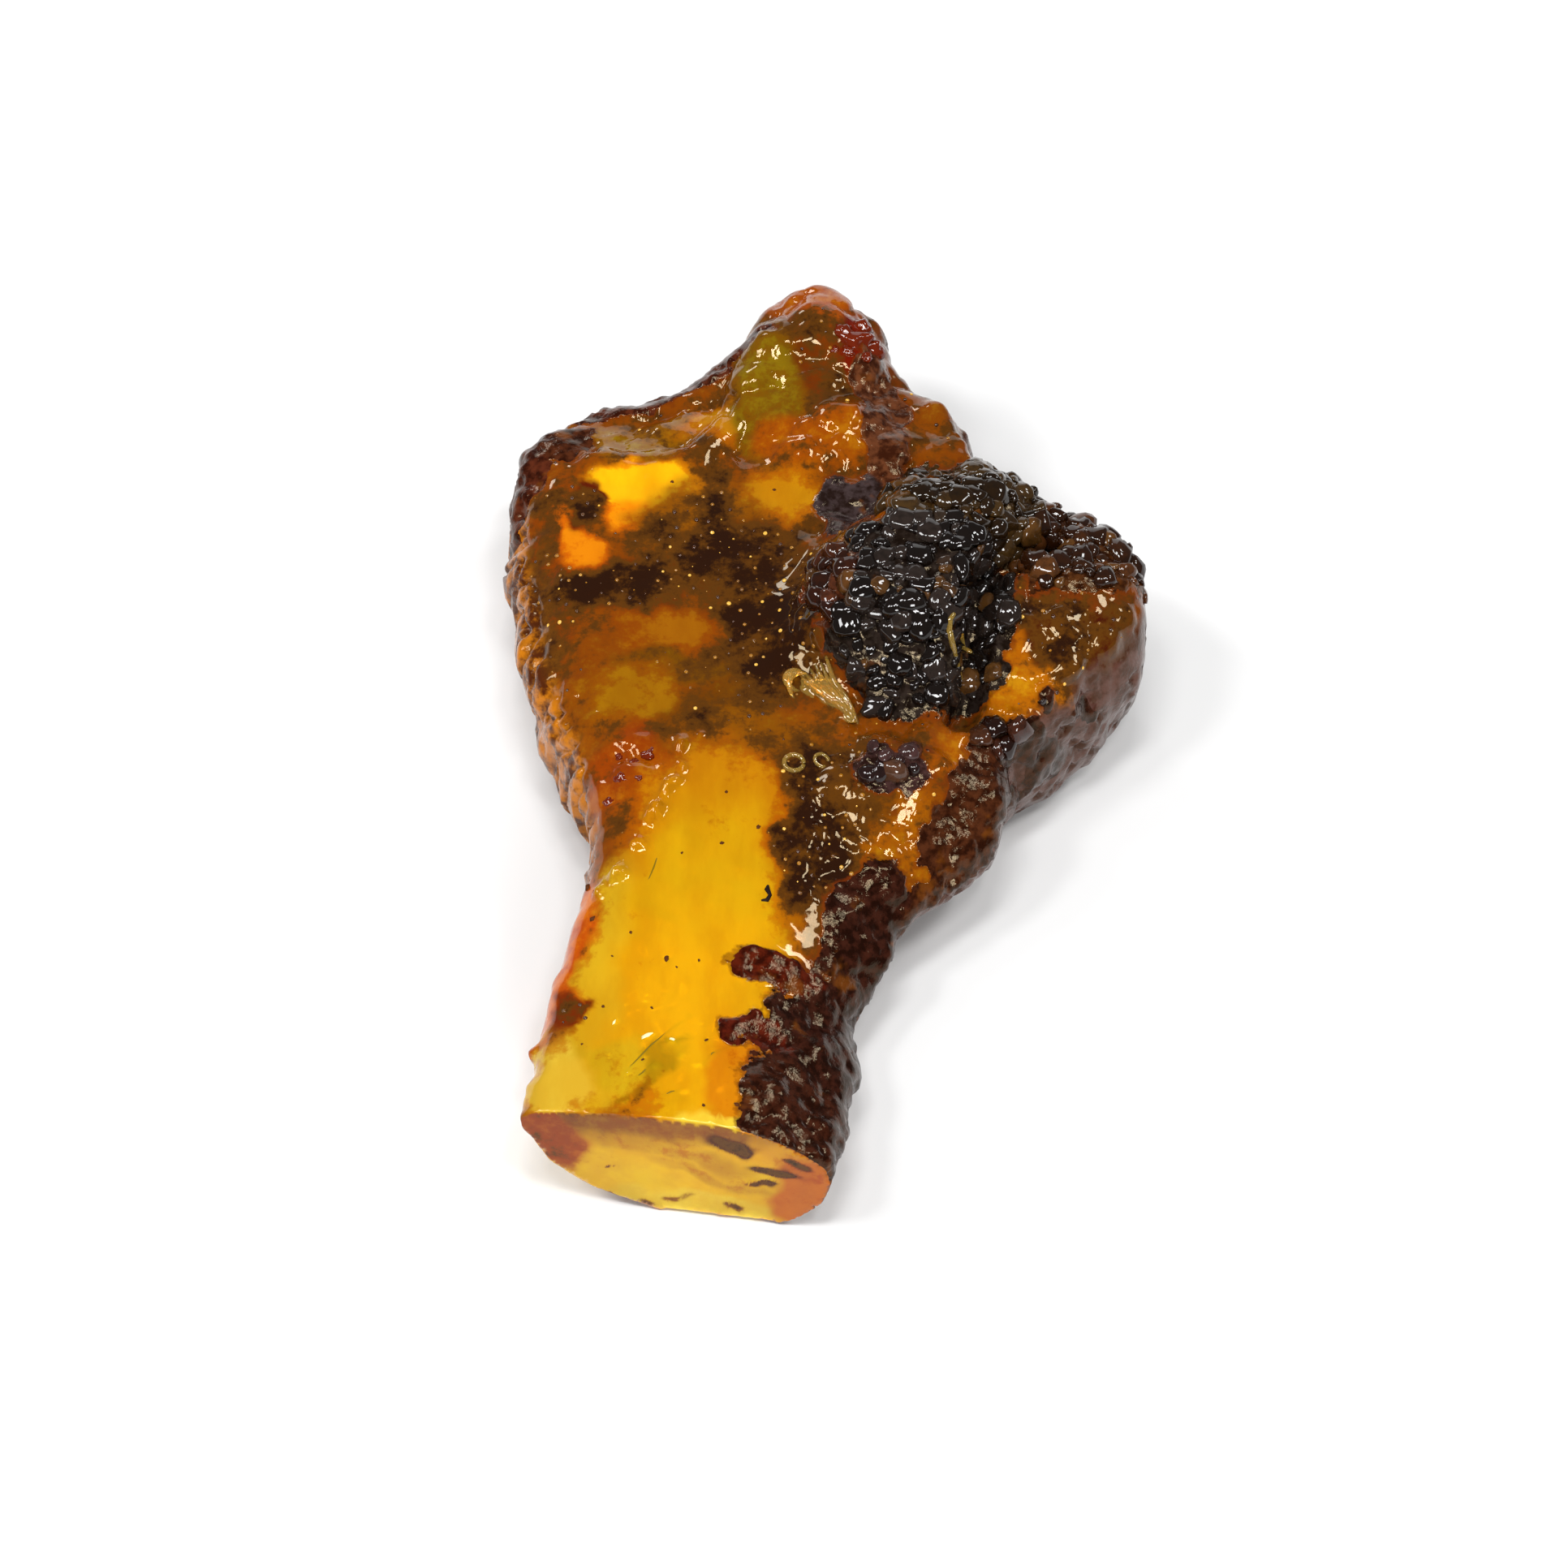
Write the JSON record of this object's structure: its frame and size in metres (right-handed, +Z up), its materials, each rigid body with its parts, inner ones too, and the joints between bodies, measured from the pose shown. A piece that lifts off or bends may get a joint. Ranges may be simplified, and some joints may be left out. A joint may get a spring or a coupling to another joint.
{
  "type": "raw amber piece",
  "caption": "Raw lump of clear golden amber: a polished neck with a broken end, and a wide head under a dark bubbly crust.",
  "frame": {"origin": "centre of the footprint, on the surface that the lump lies on", "axes": "+Z up, -Y towards the broken end of the neck, +X towards the thick right lobe"},
  "size_m": [0.0338, 0.0572, 0.0139],
  "materials": {
    "amber": "clear golden resin, polished on the neck, under a glossy dark brown weathered crust"
  },
  "bodies": {
    "root": {"amber_piece": "amber"}
  },
  "joints": []
}
